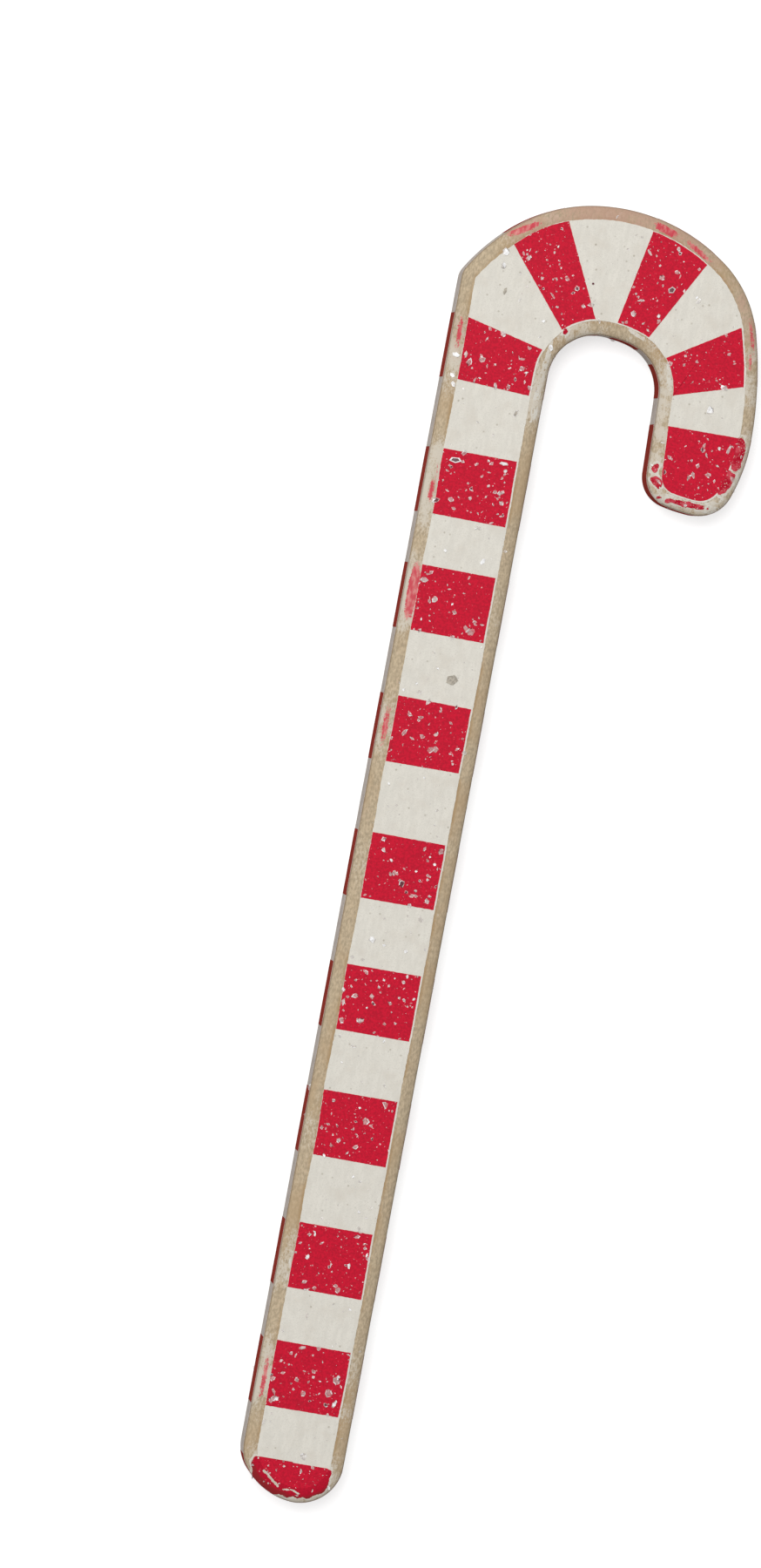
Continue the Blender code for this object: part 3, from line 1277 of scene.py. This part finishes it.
def red_paint():
    """The stripes' paint."""
    look = Finish("red_paint", 0.5, 0.15)
    colour, fine, clouds = mottled_red(look, colours().red)
    look.paint(colour)
    look.sheen_of(clouds, 0.4, 0.6)
    look.relief(fine, 0.25, 0.03 * MM)
    return look.material


def thin_red_paint():
    """The thin rim of a stripe, where the brown ground of the wood shines through in places."""
    look = Finish("thin_red_paint", 0.55, 0.15)
    colour, fine, _ = mottled_red(look, colours().red)
    patches = look.grain(1.5 * MM, 3.0)
    colour = look.mix(look.ramp(patches, 0.42, 0.58), colour, ORANGE_GROUND)
    look.paint(colour)
    look.relief(fine, 0.25, 0.03 * MM)
    return look.material


def side_paint(name, shaded_side_colour):
    """Paint on the sawn side, scuffed and dirty, in a colour darkened as painted shade of the side."""
    look = Finish(name, 0.85, 0.0)
    clouds = look.grain(1.4 * MM, 4.0)
    dust = look.grain(0.3 * MM, 2.0)
    colour = look.mix(look.ramp(clouds, 0.3, 0.75), tinted(shaded_side_colour, 0.99), tinted(shaded_side_colour, 0.89))
    colour = look.mix(look.ramp(dust, 0.55, 0.85), colour, tinted(shaded_side_colour, 0.78))
    look.paint(colour)
    look.relief(look.sum(clouds, dust), 0.15, 0.03 * MM)
    return look.material


def worn_red_paint():
    """Red rubbed thin on the sanded edges, with primer showing through in specks."""
    look = Finish("worn_red_paint", 0.75, 0.1)
    fine = look.grain(0.25 * MM, 3.0)
    clouds = look.grain(1.5 * MM, 3.0)
    colour = look.mix(look.ramp(clouds, 0.4, 0.62), tinted(colours().red, 0.9), colours().worn_red)
    colour = look.mix(look.ramp(fine, 0.58, 0.72), colour, PINK_PRIMER)
    look.paint(colour)
    look.relief(fine, 0.3, 0.04 * MM)
    return look.material


def foot_red_paint():
    """The red over the foot's sanded edge, deeper than on the face and browner towards its rim."""
    look = Finish("foot_red_paint", 0.6, 0.1)
    fine = look.grain(0.3 * MM, 3.0)
    clouds = look.grain(1.6 * MM, 3.0)
    red = colours().red
    colour = look.mix(look.ramp(fine, 0.35, 0.65), tinted(red, 0.88), tinted(red, 0.97))
    rim = look.sum(look.ramp(look.attribute("sanded"), 0.15, 0.75, from_zero=False), clouds)
    colour = look.mix(look.ramp(rim, 0.55, 1.2), colour, FOOT_RIM_RED)
    look.paint(colour)
    look.relief(fine, 0.3, 0.03 * MM)
    return look.material


def worn_cream_paint():
    """Cream paint and primer rubbed thin on the sanded edges."""
    look = Finish("worn_cream_paint", 0.75, 0.1)
    fine = look.grain(0.25 * MM, 3.0)
    clouds = look.grain(1.2 * MM, 3.0)
    colour = look.mix(look.ramp(clouds, 0.35, 0.65), tinted(colours().cream, 0.97), colours().primer)
    colour = look.mix(look.ramp(fine, 0.55, 0.75), colour, colours().wood)
    look.paint(colour)
    look.relief(fine, 0.3, 0.04 * MM)
    return look.material


def mica_finish(name, colour, alpha, roughness):
    """Mica of one colour: thin, glossy and more or less clear, clouded by its layers."""
    look = Finish(name, roughness, 0.5)
    layers = look.grain(0.3 * MM, 3.0)
    look.paint(look.mix(look.ramp(layers, 0.35, 0.65), tinted(colour, 0.88), tinted(colour, 1.08)))
    look.shader.inputs["Alpha"].default_value = alpha
    return look.material


def floor_paper():
    """White paper that shows as plain white round a soft shadow."""
    material = bpy.data.materials.new("floor_paper")
    material.use_nodes = True
    tree = material.node_tree
    tree.nodes.clear()
    seen = tree.nodes.new("ShaderNodeLightPath")
    paper = tree.nodes.new("ShaderNodeBsdfDiffuse")
    paper.inputs["Color"].default_value = linear(display(*FLOOR_WHITE))
    glow = tree.nodes.new("ShaderNodeEmission")
    glow.inputs["Strength"].default_value = FLOOR_GLOW
    both = tree.nodes.new("ShaderNodeAddShader")
    dull = tree.nodes.new("ShaderNodeBsdfDiffuse")
    dull.inputs["Color"].default_value = linear(display(*FLOOR_BOUNCE))
    choice = tree.nodes.new("ShaderNodeMixShader")
    output = tree.nodes.new("ShaderNodeOutputMaterial")
    tree.links.new(paper.outputs[0], both.inputs[0])
    tree.links.new(glow.outputs[0], both.inputs[1])
    tree.links.new(clear_sight(tree, seen), choice.inputs[0])
    tree.links.new(dull.outputs[0], choice.inputs[1])
    tree.links.new(both.outputs[0], choice.inputs[2])
    tree.links.new(choice.outputs[0], output.inputs["Surface"])
    return material


def clear_sight(tree, seen):
    """1 for a ray that comes from the camera, a mirror or through glass, and 0 for any other."""
    total = seen.outputs["Is Camera Ray"]
    for name in ("Is Glossy Ray", "Is Transmission Ray"):
        node = tree.nodes.new("ShaderNodeMath")
        node.operation = "MAXIMUM"
        tree.links.new(total, node.inputs[0])
        tree.links.new(seen.outputs[name], node.inputs[1])
        total = node.outputs[0]
    return total


# ---------------------------------------------------------------- stage


def make_floor():
    """A wide sheet of white paper under the cane."""
    deselect()
    bpy.ops.mesh.primitive_plane_add(size=FLOOR_SIZE, location=(0.0, 0.0, FLOOR_HEIGHT))
    floor = bpy.context.object
    floor.name = "floor_paper"
    bpy.ops.object.transform_apply(location=True, rotation=True, scale=True)
    floor.data.materials.append(floor_paper())
    floor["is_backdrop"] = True


def make_world():
    """Soft white light from all round, seen as plain white."""
    world = bpy.data.worlds.new("white_room")
    world.use_nodes = True
    tree = world.node_tree
    sky = tree.nodes["Background"]
    sky.inputs["Color"].default_value = (1.0, 1.0, 1.0, 1.0)
    seen = tree.nodes.new("ShaderNodeLightPath")
    strength = tree.nodes.new("ShaderNodeMapRange")
    strength.inputs["To Min"].default_value = ROOM_LIGHT
    strength.inputs["To Max"].default_value = 1.0
    tree.links.new(seen.outputs["Is Camera Ray"], strength.inputs["Value"])
    tree.links.new(strength.outputs["Result"], sky.inputs["Strength"])
    bpy.context.scene.world = world


def make_lamp():
    """A square soft white lamp that points at the cane."""
    data = bpy.data.lights.new("key_lamp", "AREA")
    data.size = LAMP_SIZE
    data.energy = LAMP_POWER
    lamp = bpy.data.objects.new("key_lamp", data)
    lamp.location = LAMP_PLACE
    lamp.rotation_euler = (-LAMP_PLACE).to_track_quat("-Z", "Y").to_euler()
    bpy.context.scene.collection.objects.link(lamp)


def make_camera():
    """A long lens looking down on the cane, a little from its left, rolled against its lean."""
    back = (CAMERA_EYE - CAMERA_AIM).normalized()
    data = bpy.data.cameras.new("camera")
    data.lens = data.sensor_width * (CAMERA_EYE - CAMERA_AIM).length / VIEW_HEIGHT
    camera = bpy.data.objects.new("camera", data)
    bpy.context.scene.collection.objects.link(camera)
    lean = Vector((-sin(CAMERA_ROLL), cos(CAMERA_ROLL), 0.0))
    right = lean.cross(back).normalized()
    turn = Matrix((right, back.cross(right), back)).transposed()
    camera.matrix_world = Matrix.Translation(CAMERA_EYE) @ turn.to_4x4()
    bpy.context.scene.camera = camera


class CANE_OT_stage(bpy.types.Operator):
    """Set the floor, the room's light, the lamp and the camera"""

    bl_idname = "cane.stage"
    bl_label = "Stage"

    def execute(self, context):
        make_floor()
        make_world()
        make_lamp()
        make_camera()
        bpy.context.scene.view_settings.view_transform = "Standard"
        return {"FINISHED"}


# ---------------------------------------------------------------- add-on


class CANE_PT_panel(bpy.types.Panel):
    """The cane's settings and its makers, in the order they are used"""

    bl_idname = "CANE_PT_panel"
    bl_label = "Candy Cane"
    bl_space_type = "VIEW_3D"
    bl_region_type = "UI"
    bl_category = "Candy Cane"

    def draw(self, context):
        for settings in (context.scene.cane_sizes, context.scene.cane_colours):
            for name in settings.bl_rna.properties.keys():
                if name not in {"rna_type", "name"}:
                    self.layout.prop(settings, name)
        for maker in MAKERS:
            self.layout.operator(maker.bl_idname)


MAKERS = (
    CANE_OT_board,
    CANE_OT_ground_coat,
    CANE_OT_red_stripes,
    CANE_OT_cream_traces,
    CANE_OT_red_traces,
    CANE_OT_mica,
    CANE_OT_stage,
)
CLASSES = (CaneSizes, CaneColours, *MAKERS, CANE_PT_panel)


def register():
    """Register the classes and the scene's settings."""
    for item in CLASSES:
        bpy.utils.register_class(item)
    bpy.types.Scene.cane_sizes = bpy.props.PointerProperty(type=CaneSizes)
    bpy.types.Scene.cane_colours = bpy.props.PointerProperty(type=CaneColours)


def unregister():
    """Take the classes and the settings away again."""
    del bpy.types.Scene.cane_colours
    del bpy.types.Scene.cane_sizes
    for item in reversed(CLASSES):
        bpy.utils.unregister_class(item)


def main():
    """Make the whole cane, piece by piece, then its stage."""
    register()
    bpy.ops.cane.board()
    bpy.ops.cane.ground_coat()
    bpy.ops.cane.red_stripes()
    bpy.ops.cane.cream_traces()
    bpy.ops.cane.red_traces()
    bpy.ops.cane.mica()
    bpy.ops.cane.stage()


if __name__ == "__main__":
    main()
